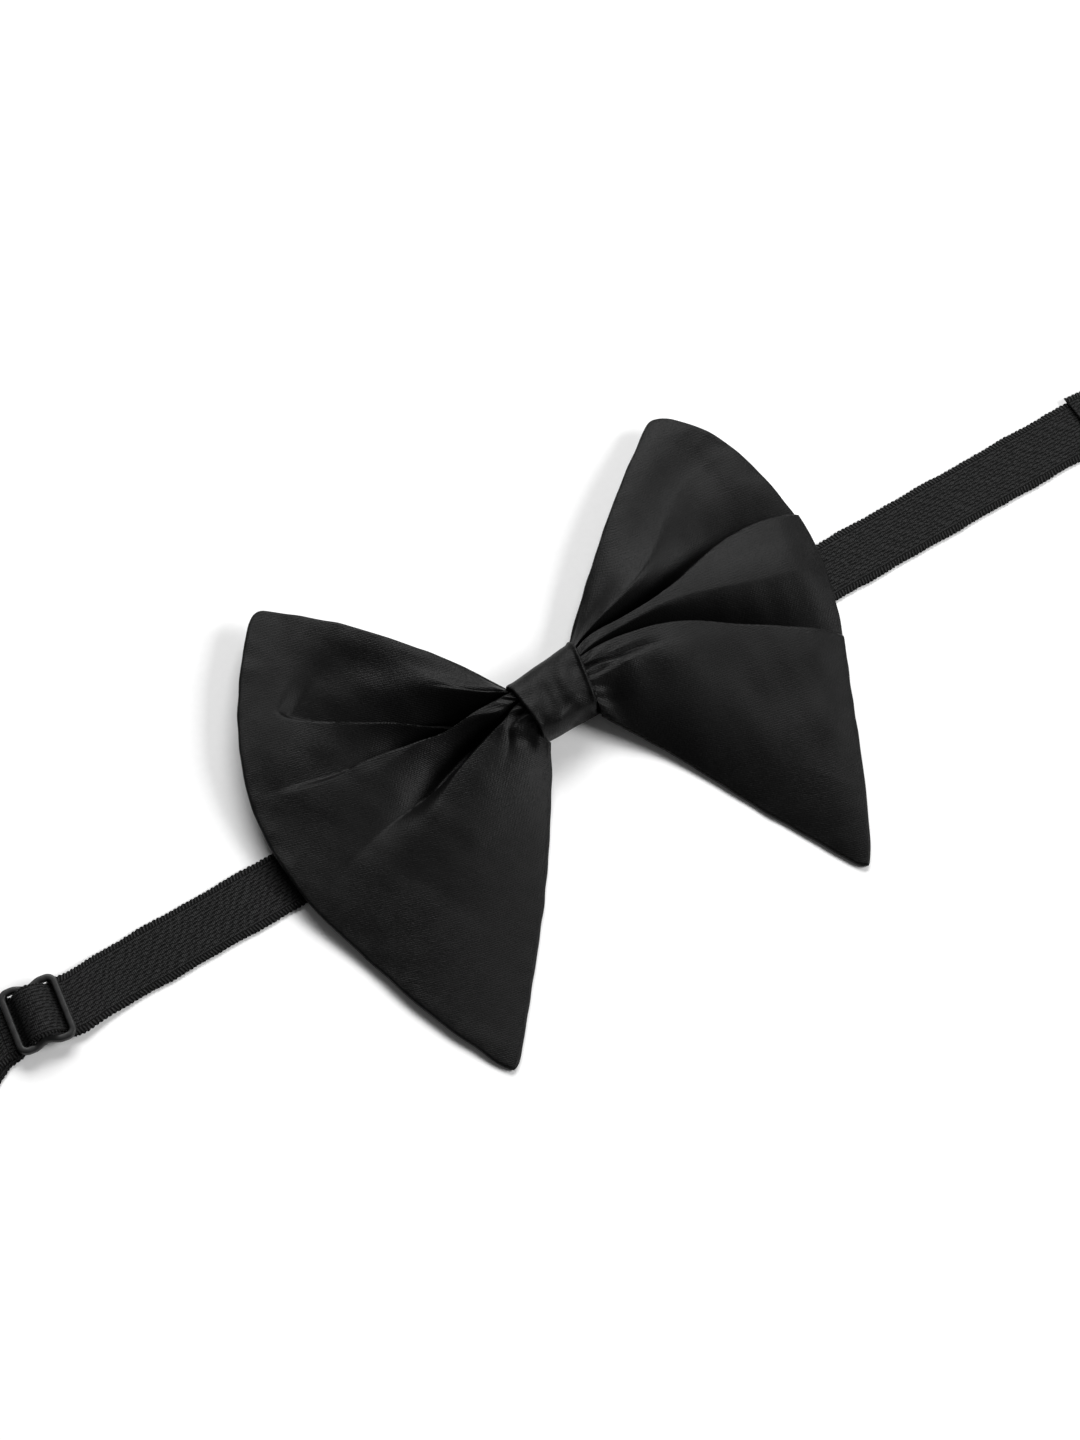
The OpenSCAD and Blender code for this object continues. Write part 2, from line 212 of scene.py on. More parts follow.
class Nodes:
    """A short way to write a node material."""

    def __init__(self, name):
        self.material = bpy.data.materials.new(name)
        self.material.use_nodes = True
        self.tree = self.material.node_tree
        self.shader = self.tree.nodes["Principled BSDF"]
        self.place = self.add("ShaderNodeTexCoord").outputs["Object"]

    def add(self, kind, **settings):
        """A node of any kind, with its inputs and its own settings by name."""
        node = self.tree.nodes.new(kind)
        for key, value in settings.items():
            if key in node.inputs:
                self.put(node.inputs[key], value)
            else:
                setattr(node, key, value)
        return node

    def put(self, socket, value):
        """Links an output, or sets a plain value."""
        if isinstance(value, bpy.types.NodeSocket):
            self.tree.links.new(value, socket)
        else:
            socket.default_value = value

    def math(self, operation, *values):
        node = self.tree.nodes.new("ShaderNodeMath")
        node.operation = operation
        for socket, value in zip(node.inputs, values):
            self.put(socket, value)
        return node.outputs[0]

    def times(self, a, b):
        return self.math("MULTIPLY", a, b)

    def plus(self, a, b):
        return self.math("ADD", a, b)

    def mix(self, factor, a, b):
        node = self.tree.nodes.new("ShaderNodeMix")
        node.data_type = "RGBA"
        self.put(node.inputs["Factor"], factor)
        self.put(node.inputs["A"], a)
        self.put(node.inputs["B"], b)
        return node.outputs["Result"]

    def noise(self, vector, scale, detail=3.0, roughness=0.5):
        node = self.tree.nodes.new("ShaderNodeTexNoise")
        self.put(node.inputs["Vector"], vector)
        self.put(node.inputs["Scale"], scale)
        self.put(node.inputs["Detail"], detail)
        self.put(node.inputs["Roughness"], roughness)
        return node.outputs["Fac"]

    def ramp(self, value, low, high, a=0.0, b=1.0):
        """Goes from a to b while value goes from low to high, and stays there."""
        node = self.tree.nodes.new("ShaderNodeMapRange")
        node.clamp = True
        names = ("Value", "From Min", "From Max", "To Min", "To Max")
        for key, v in zip(names, (value, low, high, a, b)):
            self.put(node.inputs[key], v)
        return node.outputs["Result"]

    def bump(self, height, distance, strength=1.0, normal=None):
        node = self.tree.nodes.new("ShaderNodeBump")
        self.put(node.inputs["Height"], height)
        self.put(node.inputs["Distance"], distance)
        self.put(node.inputs["Strength"], strength)
        if normal is not None:
            self.put(node.inputs["Normal"], normal)
        return node.outputs["Normal"]

    def finish(self, color, roughness, normal, **fixed):
        """Feeds the shader; fixed holds its other inputs, with _ for each space."""
        self.put(self.shader.inputs["Base Color"], color)
        self.put(self.shader.inputs["Roughness"], roughness)
        self.put(self.shader.inputs["Normal"], normal)
        for key, value in fixed.items():
            self.shader.inputs[key.replace("_", " ")].default_value = value
        return self.material


def grey(value, warm=0.0):
    """A grey as a colour; warm above zero is redder, below zero bluer."""
    return (value * (1 + warm), value, value * (1 - warm), 1.0)


def satin_material():
    """Fine black satin cotton: a diagonal weave, soft sheen and a few specks of lint."""
    n = Nodes("black_satin")
    parts = n.add("ShaderNodeSeparateXYZ", Vector=n.place)
    x, y = parts.outputs["X"], parts.outputs["Y"]
    pitch = 2 * math.pi / 0.00042        # one thread every 0.42 mm
    # the weave: a strong diagonal and a weaker one across it, both wandering a little
    wander = n.times(n.noise(n.place, 1300.0), 4.0)
    run = n.plus(n.times(n.plus(x, y), pitch * 0.72), wander)
    cross = n.plus(n.times(n.math("SUBTRACT", x, y), pitch * 0.5), wander)
    weave = n.plus(n.times(n.math("SINE", run), 0.65), n.times(n.math("SINE", cross), 0.35))
    slub = n.noise(n.place, 2600.0, 2.0)
    patch = n.ramp(n.noise(n.place, 45.0, 4.0), 0.35, 0.65)
    grain = n.plus(n.times(weave, 0.45), n.times(slub, 3.0))
    thread = n.ramp(grain, 0.7, 2.3)
    color = n.mix(thread, grey(0.0003), grey(0.0044, -0.01))
    color = n.mix(n.times(patch, 0.3), color, grey(0.0035, -0.015))
    # specks of lint in a few cells of a Voronoi pattern
    speck = n.add("ShaderNodeTexVoronoi", Vector=n.place, Scale=150.0)
    cell = n.add("ShaderNodeSeparateColor", Color=speck.outputs["Color"]).outputs["Red"]
    pick = n.ramp(cell, 0.93, 0.94)
    dot = n.times(n.ramp(speck.outputs["Distance"], 0.025, 0.04, 1.0, 0.0), pick)
    color = n.mix(n.times(dot, 0.5), color, grey(0.2))
    rough = n.ramp(n.plus(patch, n.times(thread, 0.4)), 0.0, 1.4, 0.38, 0.5)
    relief = n.plus(n.times(weave, 0.5), n.times(slub, 2.6))
    fine = n.bump(relief, 0.00005, 0.75)
    normal = n.bump(n.noise(n.place, 160.0, 3.0), 0.0002, 0.25, fine)
    return n.finish(color, rough, normal, Specular_IOR_Level=0.11)


def elastic_material():
    """Black ribbed elastic. The weave map runs along the band and across it, in mm."""
    n = Nodes("black_elastic")
    uv = n.add("ShaderNodeUVMap", uv_map="weave").outputs["UV"]
    parts = n.add("ShaderNodeSeparateXYZ", Vector=uv)
    along, across = parts.outputs["X"], parts.outputs["Y"]
    row_width, slit_pitch, pick_pitch, border_pitch = 0.86, 2.3, 0.42, 0.8
    rib_edge = 5.95                      # where the ribs end and the picot border starts
    # staggered slits between the ribs
    row = n.math("DIVIDE", across, row_width)
    index = n.math("FLOOR", row)
    stagger = n.math("FRACT", n.times(index, 0.38))
    wander = n.noise(n.place, 260.0, 2.0)
    step = n.plus(n.math("DIVIDE", along, slit_pitch), stagger)
    step = n.plus(step, n.times(wander, 2.4))
    dash = n.math("ABSOLUTE", n.math("SUBTRACT", n.math("FRACT", step), 0.5))
    line = n.math("ABSOLUTE", n.math("SUBTRACT", n.math("FRACT", row), 0.5))
    slit = n.times(n.ramp(dash, 0.16, 0.22), n.ramp(line, 0.2, 0.3))
    pick = n.math("SINE", n.times(along, 2 * math.pi / pick_pitch))
    rise = n.plus(n.times(pick, 0.12), 0.88)
    body = n.times(n.math("SUBTRACT", 1.0, slit), rise)
    # slanted picks along the border, and the fine groove that parts it from the ribs
    reach = n.math("ABSOLUTE", across)
    edge = n.ramp(reach, 5.9, 6.05)
    seam = n.ramp(n.math("ABSOLUTE", n.math("SUBTRACT", reach, rib_edge)), 0.0, 0.16)
    lean = n.plus(n.math("DIVIDE", along, border_pitch), n.times(reach, 0.35))
    lean = n.plus(lean, n.times(wander, 0.8))
    border = n.ramp(n.math("SINE", n.times(lean, 2 * math.pi)), -0.55, 0.5)
    woven = n.plus(n.times(body, n.math("SUBTRACT", 1.0, edge)), n.times(border, edge))
    height = n.times(woven, seam)
    fuzz = n.noise(n.place, 1900.0, 3.0)
    # painted shade: the colour follows the weave's height, so the slits, the groove by the border and
    # the hollows between picks are painted darker; the fuzz adds random fibre tone
    weave_shade_and_fuzz = n.times(height, n.ramp(fuzz, 0.35, 0.65, 0.35, 1.0))
    color = n.mix(weave_shade_and_fuzz, grey(0.0003), grey(0.0165, -0.01))
    normal = n.bump(n.plus(height, n.times(fuzz, 0.8)), 0.00026, 0.9)
    return n.finish(color, n.ramp(height, 0.0, 1.0, 0.8, 0.5), normal, Specular_IOR_Level=0.12)


def lining_material():
    """Plain dark interlining with an open weave."""
    n = Nodes("interlining_weave")
    parts = n.add("ShaderNodeSeparateXYZ", Vector=n.place)
    pitch = 2 * math.pi / 0.0006
    grid = n.times(n.math("SINE", n.times(parts.outputs["X"], pitch)),
                   n.math("SINE", n.times(parts.outputs["Y"], pitch)))
    color = n.mix(n.ramp(grid, -1.0, 1.0), grey(0.004), grey(0.011))
    rough = n.ramp(n.noise(n.place, 300.0), 0.3, 0.7, 0.8, 0.95)
    return n.finish(color, rough, n.bump(grid, 0.0001, 0.6))


def thread_material():
    """Twisted black sewing thread."""
    n = Nodes("black_thread")
    wave = n.add("ShaderNodeTexWave", Vector=n.place, Scale=900.0, Distortion=2.0)
    twist = wave.outputs["Fac"]
    color = n.mix(twist, grey(0.006), grey(0.02))
    rough = n.ramp(twist, 0.0, 1.0, 0.6, 0.4)
    return n.finish(color, rough, n.bump(twist, 0.00005, 0.7), Specular_IOR_Level=0.25)


def coated_material():
    """Steel wire with a smooth semi-gloss black coat, slightly uneven and rubbed."""
    n = Nodes("black_coated_wire")
    cloud = n.noise(n.place, 700.0, 4.0)
    scuff = n.ramp(n.noise(n.place, 2400.0, 5.0, 0.7), 0.62, 0.72)
    color = n.mix(n.ramp(cloud, 0.3, 0.7), grey(0.008), grey(0.015, -0.01))
    color = n.mix(n.times(scuff, 0.3), color, grey(0.04))
    rough = n.plus(n.ramp(cloud, 0.3, 0.7, 0.36, 0.46), n.times(scuff, 0.15))
    return n.finish(color, rough, n.bump(cloud, 0.00006, 0.4), Specular_IOR_Level=0.25)


def hook_material():
    """Blackened metal with a satin polish for the hook and its ring."""
    n = Nodes("blackened_metal")
    cloud = n.noise(n.place, 500.0, 4.0)
    rub = n.ramp(n.noise(n.place, 1800.0, 5.0, 0.7), 0.6, 0.7)
    color = n.mix(n.ramp(cloud, 0.3, 0.7), grey(0.03), grey(0.05, -0.01))
    color = n.mix(n.times(rub, 0.3), color, grey(0.14))
    rough = n.plus(n.ramp(cloud, 0.3, 0.7, 0.26, 0.38), n.times(rub, 0.12))
    return n.finish(color, rough, n.bump(cloud, 0.00005, 0.4), Metallic=0.6)


def floor_material():
    """Plain white paper with a very faint tooth."""
    n = Nodes("white_floor")
    tooth = n.noise(n.place, 600.0, 3.0)
    color = n.mix(tooth, grey(0.86), grey(0.9))
    return n.finish(color, 0.9, n.bump(tooth, 0.00002, 0.2), Specular_IOR_Level=0.2)


SATIN = satin_material()
ELASTIC = elastic_material()
LINING = lining_material()
THREAD = thread_material()
COATED = coated_material()
METAL = hook_material()


# ---------------------------------------------------------------- camera and stage

def make_camera():
    """Looks down at 65 degrees, turned so that the band climbs to the right."""
    azimuth, elevation = math.radians(-32.1), math.radians(65)
    target = Vector((-5.4, 3.6, 0)) * MM
    distance = 988 * MM
    back = Vector((math.sin(azimuth) * math.cos(elevation),
                   -math.cos(azimuth) * math.cos(elevation), math.sin(elevation)))
    right = Vector((math.cos(azimuth), math.sin(azimuth), 0))
    up = back.cross(right)
    data = bpy.data.cameras.new("camera")
    data.lens, data.sensor_width = 105, 36
    data.clip_start, data.clip_end = 0.05, 20
    camera = bpy.data.objects.new("camera", data)
    turn = Matrix((right, up, back)).transposed().to_4x4()
    camera.matrix_world = Matrix.Translation(target + back * distance) @ turn
    bpy.context.scene.collection.objects.link(camera)
    bpy.context.scene.camera = camera


def softbox(name, place, size, watts):
    """A rectangular light in metres that faces the bow."""
    data = bpy.data.lights.new(name, "AREA")
    data.shape, data.size, data.size_y = "RECTANGLE", size[0], size[1]
    data.energy = watts
    lamp = bpy.data.objects.new(name, data)
    lamp.location = place
    lamp.rotation_euler = (-Vector(place)).to_track_quat("-Z", "Y").to_euler()
    bpy.context.scene.collection.objects.link(lamp)


def make_floor():
    half, drop = 2500, -0.02         # just below the band, so that the two never share a plane
    corners = [(-half, -half, drop), (half, -half, drop), (half, half, drop), (-half, half, drop)]
    floor = mesh_object("floor", corners, [(0, 1, 2, 3)], floor_material())


def make_light():
    """A faint even sky, a softbox behind the top of the picture and one at its right."""
    world = bpy.data.worlds.new("studio")
    bpy.context.scene.world = world
    world.use_nodes = True
    sky = world.node_tree.nodes["Background"]
    sky.inputs["Color"].default_value = (1, 1, 1, 1)
    sky.inputs["Strength"].default_value = 0.1
    softbox("back", (0.795, 1.275, 1.35), (1.7, 1.0), 53)
    softbox("side", (1.275, -0.795, 1.0), (0.9, 0.7), 31)
    bpy.context.scene.view_settings.view_transform = "Standard"


make_camera()
make_floor()
make_light()


# ---------------------------------------------------------------- wings

CRISP = [0] * 9          # softness of a valley whose rise is crisp all the way


def valley(line, depth, above, soft, end, slant=0):
    """A valley between two folds, each of its first four values given at nine places from
    the knot out: the line of its bottom, its depth, the width of the slope above it and the
    softness of the rise below it. Lines and widths are shares of the way from the top edge
    down. end says how far out it runs, and slant how much its end leans."""
    return {"line": line, "depth": depth, "above": above, "soft": soft, "end": end, "slant": slant}


def short_crease(line, depth, above, soft):
    """A shallow valley that dies out before the middle of the wing."""
    line = line + line[-1:] * (9 - len(line))
    depth = depth + [0] * (9 - len(depth))
    return valley(line, depth, [above] * 9, [soft] * 9, 0.5)


# Edges of each wing at rest, from the knot out and from the top down. Its other values are
# the height of its rim above the floor, a row for each place from the knot out and a column
# from the top down; its valleys; its broad dents (below zero, bumps) as place, size each
# way and depth; how far the outer edge rises at the crests; the share of its width over
# which it slopes down to that edge; and the seed of its small unevenness.
LEFT_WING = {
    "name": "left",
    "inner": [(-8.2, 9), (-8.3, 3), (-8.2, -4.5)],
    "top": [(-8.2, 9), (-19.4, 27.0), (-34.2, 45.9), (-49.4, 61.2)],
    "bottom": [(-8.2, -4.5), (-15, -15.5), (-31, -37.5), (-57, -68.5)],
    "outer": [(-49.4, 61.2), (-61, 46.5), (-70, 31), (-75.3, 14),
              (-75.6, -7), (-71.2, -26), (-65.5, -47), (-57, -68.5)],
    "lift": [[5.0, 4.6, 4.6, 4.6, 4.6],
             [6.9, 4.2, 2.2, 1.6, 1.6],
             [7.6, 4.4, 1.6, 0.3, 0.2],
             [7.0, 4.6, 2.2, 0.1, 0],
             [5.4, 4.8, 2.6, 0.1, 0]],
    "valleys": [
        valley([0.05, 0.28, 0.41, 0.405, 0.36, 0.32, 0.275, 0.225, 0.14],
               [1, 3.6, 7.2, 7, 5.8, 4.8, 4.2, 3.4, 1],
               [0.012, 0.05, 0.19, 0.27, 0.29, 0.28, 0.25, 0.2, 0.1], CRISP, 0.885, 0.45),
        valley([0.08, 0.33, 0.44, 0.475, 0.465, 0.455, 0.445, 0.41, 0.38],
               [0.8, 2.6, 5.6, 7.4, 6.7, 4.0, 2.1, 0.9, 0.2],
               [0.012, 0.02, 0.045, 0.08, 0.11, 0.14, 0.17, 0.18, 0.18],
               [0, 0, 0, 0, 0, 0, 0.004, 0.012, 0.02], 1.0),
        valley([0.3, 0.51, 0.59, 0.62, 0.63, 0.63, 0.612, 0.6, 0.6],
               [1, 3.4, 7, 8.2, 7, 4.4, 2, 0.6, 0],
               [0.015, 0.03, 0.08, 0.11, 0.125, 0.13, 0.13, 0.12, 0.12],
               [0, 0, 0, 0, 0.012, 0.05, 0.1, 0.14, 0.16], 1.2),
        short_crease([0.5, 0.62, 0.76, 0.8], [1, 1, 0.5], 0.06, 0.06),
        short_crease([0.06, 0.19, 0.21, 0.2], [0.8, 1.3, 0.7], 0.06, 0.03),
    ],
    "dents": [(0.14, 0.82, 0.06, 0.08, 1.1), (0.15, 0.7, 0.05, 0.05, -0.5),
              (0.5, 0.75, 0.16, 0.09, -0.9), (0.78, 0.7, 0.12, 0.1, 0.8),
              (0.9, 0.3, 0.08, 0.14, -1.0), (0.22, 0.12, 0.1, 0.08, 0.7),
              (0.6, 0.1, 0.3, 0.09, 1.2)],
    "wave": 1.0,
    "shoulder": 0.4,
    "seed": 11,
}
RIGHT_WING = {
    "name": "right",
    "inner": [(6.8, 11.5), (6.8, 4), (6.5, -5)],
    "top": [(6.8, 11.5), (22.3, 25.6), (40.1, 40.8), (59.6, 55.8)],
    "bottom": [(6.5, -5), (16, -20.5), (26.5, -43.5), (38.8, -69.5)],
    "outer": [(59.6, 55.8), (69.3, 42.5), (73.5, 24), (73.5, 6.5),
              (68, -12), (59.8, -29), (49.5, -50), (38.8, -69.5)],
    "lift": [[4.6, 4.6, 4.6, 4.6, 4.6],
             [5.4, 3.6, 2.0, 1.6, 1.6],
             [6.4, 3.4, 1.0, 0.3, 0.2],
             [6.0, 3.0, 0.6, 0.1, 0],
             [4.0, 1.8, 0.4, 0.1, 0]],
    "valleys": [
        valley([0.1, 0.18, 0.255, 0.298, 0.312, 0.306, 0.306, 0.322, 0.35],
               [1, 3.6, 6.6, 7.8, 7.2, 6.2, 5.2, 4.4, 3.4],
               [0.015, 0.025, 0.05, 0.08, 0.11, 0.14, 0.16, 0.17, 0.17], CRISP, 1.3),
        valley([0.26, 0.33, 0.405, 0.452, 0.492, 0.535, 0.565, 0.588, 0.605],
               [0.8, 2.2, 4.2, 5.6, 6, 5.8, 5.2, 4.4, 3.4],
               [0.015, 0.018, 0.03, 0.05, 0.07, 0.09, 0.1, 0.115, 0.12], CRISP, 1.3),
        short_crease([0.42, 0.5, 0.54, 0.57, 0.6], [0.8, 1, 0.6], 0.04, 0.03),
    ],
    "dents": [(0.075, 0.88, 0.09, 0.22, 3.8), (0.2, 0.6, 0.07, 0.045, -0.7),
              (0.1, 0.64, 0.06, 0.05, -0.5), (0.4, 0.8, 0.11, 0.25, -0.9),
              (0.62, 0.68, 0.13, 0.09, 0.7), (0.8, 0.85, 0.1, 0.1, 0.5),
              (0.2, 0.08, 0.14, 0.08, 1.5), (0.78, 0.15, 0.28, 0.12, 2.6)],
    "wave": 2.2,
    "shoulder": 0.12,
    "seed": 23,
}
EDGE_R = 0.65            # radius of the rolled edge
RIM_MIN = 0.75           # height of the rim's middle where it lies on the floor
RISE_RUN = 0.38          # run of a crisp rise for each mm of its height
EDGE_TURNS = (60, 30, 0, -30, -60)       # degrees at which that edge has its rings
OVERHANG = 0.6           # how far the crest of a 6 mm deep fold leans over its valley
CROWN = [11.8, 10.8, 9.8, 8.6, 6.6]      # height of the folds' crests from the knot out


def wing_plan(wing, s, t):
    """Place on a wing seen from the front: s from the knot out, t from the top down."""
    inner, outer = spline(wing["inner"], t), spline(wing["outer"], t)
    top, bottom = spline(wing["top"], s), spline(wing["bottom"], s)
    a, b = np.array(wing["inner"][0]), np.array(wing["inner"][-1])
    c, d = np.array(wing["outer"][0]), np.array(wing["outer"][-1])
    s, t = s[..., None], t[..., None]
    return ((1 - s) * inner + s * outer + (1 - t) * top + t * bottom
            - (1 - s) * (1 - t) * a - (1 - s) * t * b - s * (1 - t) * c - s * t * d)


def blunt_tips(p, s, t):
    """Rounds the two outer corners a little, as a turned-out seam does."""
    reach, furthest = 0.045, 1.5
    for corner in (0, 1):
        across = np.abs(t - corner) / reach
        out = (1 - s) / reach
        pull = furthest * np.clip(1 - across, 0, 1) ** 2 * np.clip(1 - out, 0, 1) ** 2
        tip = p[-1, 0] if corner == 0 else p[-1, -1]
        inside = p[-10, 24] if corner == 0 else p[-10, -25]
        way = (inside - tip) / np.linalg.norm(inside - tip)
        p = p + way * pull[..., None]
    return p


def fold_shape(wing, s, t, p):
    """Height taken away by the valleys, and how far each point leans towards a valley."""
    cut, lean = np.zeros_like(s), np.zeros_like(s)
    span = np.linalg.norm(np.gradient(p, axis=1), axis=2) * (s.shape[1] - 1)
    for v in wing["valleys"]:
        at = t - spline(v["line"], s)
        soft = spline(v["soft"], s)
        # it fades out over a short way, and sooner up the slope where its end slants
        ease = 0.05 + 0.4 * np.clip(-at, 0, 0.2)
        fade = 1 - smooth((s - v["end"] + v["slant"] * np.clip(-at, 0, 0.3)) / ease + 1)
        deep = np.maximum(spline(v["depth"], s), 0) * fade
        rise = np.maximum(RISE_RUN * deep / span, 0.005) + np.maximum(soft, 0)
        x = np.abs(at) / np.where(at < 0, spline(v["above"], s), rise)
        steep = np.clip(1 - soft / 0.03, 0, 1)
        cut += deep * np.clip(1 - x, 0, 1) ** np.where(at < 0, 1.4, 2.2 - 1.1 * steep)
        # the lean grows up the rise and is gone four rises beyond the crest
        crest = np.where(at > 0, np.clip(x, 0, 1) * np.clip(1 - (x - 1) / 4, 0, 1), 0)
        lean += OVERHANG * deep / 6 * steep * crest
    for s0, t0, wide, tall, deep in wing["dents"]:
        cut += deep * np.exp(-((s - s0) / wide) ** 2 - ((t - t0) / tall) ** 2)
    return cut, lean


def rim_height(wing, s, t):
    """Height of the sewn edge, carried smoothly across the whole wing."""
    columns = np.array([spline(column, s[:, 0]) for column in np.array(wing["lift"]).T])
    x = t[0] * (len(columns) - 1)
    k = np.minimum(x.astype(int), len(columns) - 2)
    f = smooth(x - k)[:, None]
    return RIM_MIN + (columns[k] * (1 - f) + columns[k + 1] * f).T


def wing_levels(wing, s, t, p):
    """Heights of the front and of the back, and how far the front leans."""
    x, y, seed = p[..., 0], p[..., 1], wing["seed"]
    cut, lean = fold_shape(wing, s, t, p)

    # the cloth rounds down to its top and bottom edges and to its outer edge
    side = 1 - np.clip(1 - t / 0.26, 0, 1) ** 2
    side = side * (1 - np.clip(1 - (1 - t) / 0.42, 0, 1) ** 1.8)
    out = 1 - np.clip(1 - (1 - s) / wing["shoulder"], 0, 1) ** 2.2

    # nine small pleats at the knot, a soft unevenness, and puckers along the seam
    pleat = 0.45 * np.sin(t * 2 * math.pi * 9 + 4 * np.sin(3 * t)) * np.exp(-s / 0.06)
    soft = 0.35 * ripples(x, y, 26, seed) + 0.1 * ripples(x, y, 9, seed + 1)
    near = np.minimum(t, 1 - t)
    border = np.exp(-np.minimum(near * 1.6, 1 - s) / 0.05)
    pucker = 0.12 * ripples(x, y, 6, seed + 2) * border

    # the outer edge rises where a crest runs out to it
    crests = np.clip(1 - cut / 3.5, 0, 1) * np.clip(near / 0.12, 0, 1)
    wave = wing["wave"] * crests * smooth((s - 0.6) / 0.4)
    edge_z = rim_height(wing, s, t) + wave
    crown = spline(CROWN, s) - edge_z - EDGE_R
    lowest = 0.35 - 0.7 * (edge_z - RIM_MIN)
    rise = np.maximum(crown - cut + pleat + soft * smooth(s / 0.15), lowest)
    front = edge_z + EDGE_R + side * out * rise + pucker

    # the back lies on the floor, over the neck band, and lifts towards the knot
    over_band = 1 - smooth((np.abs(y) - 8.5) / 5)
    by_knot = np.clip(1 - s / 0.3, 0, 1)
    floor_z = 0.15 + 1.35 * over_band + 0.75 * by_knot ** 2
    floor_z = floor_z + 0.35 * np.maximum(edge_z - RIM_MIN - 4.6 * by_knot, 0)
    under = np.minimum(floor_z, edge_z - EDGE_R)
    back = edge_z - EDGE_R + (under - edge_z + EDGE_R) * side * np.minimum(out * 3, 1)
    return np.maximum(front, floor_z + 1.1), np.maximum(back, 0.05), lean * side


def puckers(path, seed):
    """Small in-and-out of the sewn edge, as an offset along the outward direction."""
    return 0.11 * ripples(path[:, 0], path[:, 1], 8, seed + 5)


def rim_places(rows, columns):
    """The grid's outline: out along the top edge, down the outer edge, back to the knot."""
    top = [(i, 0) for i in range(rows)]
    outer = [(rows - 1, j) for j in range(1, columns)]
    bottom = [(i, columns - 1) for i in range(rows - 2, -1, -1)]
    return top + outer + bottom


def outward_from(path, centre):
    """Level directions square to an outline and away from its centre, eased at corners."""
    along = np.gradient(path, axis=0)
    out = np.c_[along[:, 1], -along[:, 0]]
    out /= np.linalg.norm(out, axis=1)[:, None]
    if ((path - centre) * out).sum() < 0:
        out = -out
    for _ in range(6):
        out[1:-1] = (out[:-2] + out[1:-1] * 2 + out[2:]) / 4
    return out / np.linalg.norm(out, axis=1)[:, None]


def rolled_edge(wing, p, top, low, rim):
    """Rings of points round the outline, from the front's edge over to the back's."""
    i, j = np.array(rim).T
    path = p[i, j]
    out = outward_from(path, p.reshape(-1, 2).mean(0))
    high, deep = top[i, j, 2], low[i, j, 2]
    middle, half = (high + deep) / 2, (high - deep) / 2
    bulge = EDGE_R + puckers(path, wing["seed"])
    rings = []
    for turn in EDGE_TURNS:
        c, d = math.cos(math.radians(turn)), math.sin(math.radians(turn))
        rings.append(np.c_[path + out * (bulge * c)[:, None], middle + half * d])
    return rings


def wing_faces(rows, columns, rim):
    """Faces of the front grid, the back grid, the rolled edge and the mouth at the knot."""
    n, m = rows * columns, len(rim)
    faces = grid_faces(rows, columns)
    faces += [tuple(n + k for k in reversed(f)) for f in grid_faces(rows, columns)]
    strips = [[i * columns + j for i, j in rim]]
    strips += [[2 * n + k * m + q for q in range(m)] for k in range(len(EDGE_TURNS))]
    strips += [[n + i * columns + j for i, j in rim]]
    for upper, lower in zip(strips, strips[1:]):
        faces += [(upper[q], upper[q + 1], lower[q + 1], lower[q]) for q in range(m - 1)]
    faces += [(j + 1, j, n + j, n + j + 1) for j in range(columns - 1)]
    faces.append(tuple(strip[0] for strip in strips))
    faces.append(tuple(strip[-1] for strip in reversed(strips)))
    return faces


def make_wing(wing, rows=104, columns=270):
    """Front and back layers with a rolled edge between them, as one closed piece."""
    s, t = np.meshgrid(np.linspace(0, 1, rows), np.linspace(0, 1, columns), indexing="ij")
    p = blunt_tips(wing_plan(wing, s, t), s, t)
    front_z, back_z, lean = wing_levels(wing, s, t, p)
    up = -np.gradient(p, axis=1)
    up /= np.linalg.norm(up, axis=2)[..., None]
    top = np.concatenate([p + up * lean[..., None], front_z[..., None]], 2)
    low = np.concatenate([p, back_z[..., None]], 2)
    rim = rim_places(rows, columns)
    rings = rolled_edge(wing, p, top, low, rim)
    verts = np.concatenate([top.reshape(-1, 3), low.reshape(-1, 3)] + rings)
    name = "wing_%s_cloth" % wing["name"]
    ob = outward(mesh_object(name, verts, wing_faces(rows, columns, rim), SATIN))
    ob.data.set_sharp_from_angle(angle=math.radians(48))
    return ob


def place_wing(wing):
    """Builds a wing's cloth, hides its CAD parts and bakes its place."""
    side = wing["name"]
    ob = make_wing(wing)
    body = "wing_" + side
    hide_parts(body + "_front", body + "_interlining", body + "_back", "pleats_" + side)
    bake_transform(ob)


place_wing(LEFT_WING)
place_wing(RIGHT_WING)


# ---------------------------------------------------------------- knot

KNOT_X = (-9.2, 7.3)     # ends of the knot
KNOT_Z, KNOT_RISE = 6.3, 6.7     # height of its middle, and from there to its top
KNOT_POWER = 3.2         # how square its section is
WRAP_R = 0.42            # half the thickness of the wrap, and radius of its rolled ends


def knot_ring(turn, inset, u=0.5):
    """Across and up on the knot's section at u from its left end to its right end, for an
    angle from the +Y side over the top. The knot is a little wider at its right end."""
    c, s = np.cos(turn), np.sin(turn)
    middle, half = 3.9 + 0.8 * u, 7.6 + 1.0 * u
    y = middle + (half - inset) * np.sign(c) * np.abs(c) ** (2 / KNOT_POWER)
    z = KNOT_Z + (KNOT_RISE - inset) * np.sign(s) * np.abs(s) ** (2 / KNOT_POWER)
    return y, np.maximum(z, 0.05 + inset)


def knot_end(turn, u, hand, angles):
    """Rings round one rolled end of the wrap."""
    rings = []
    for a in np.radians(angles):
        rings.append(knot_surface(turn, u, WRAP_R * (1 - math.cos(a)), hand * WRAP_R * math.sin(a)))
    return rings


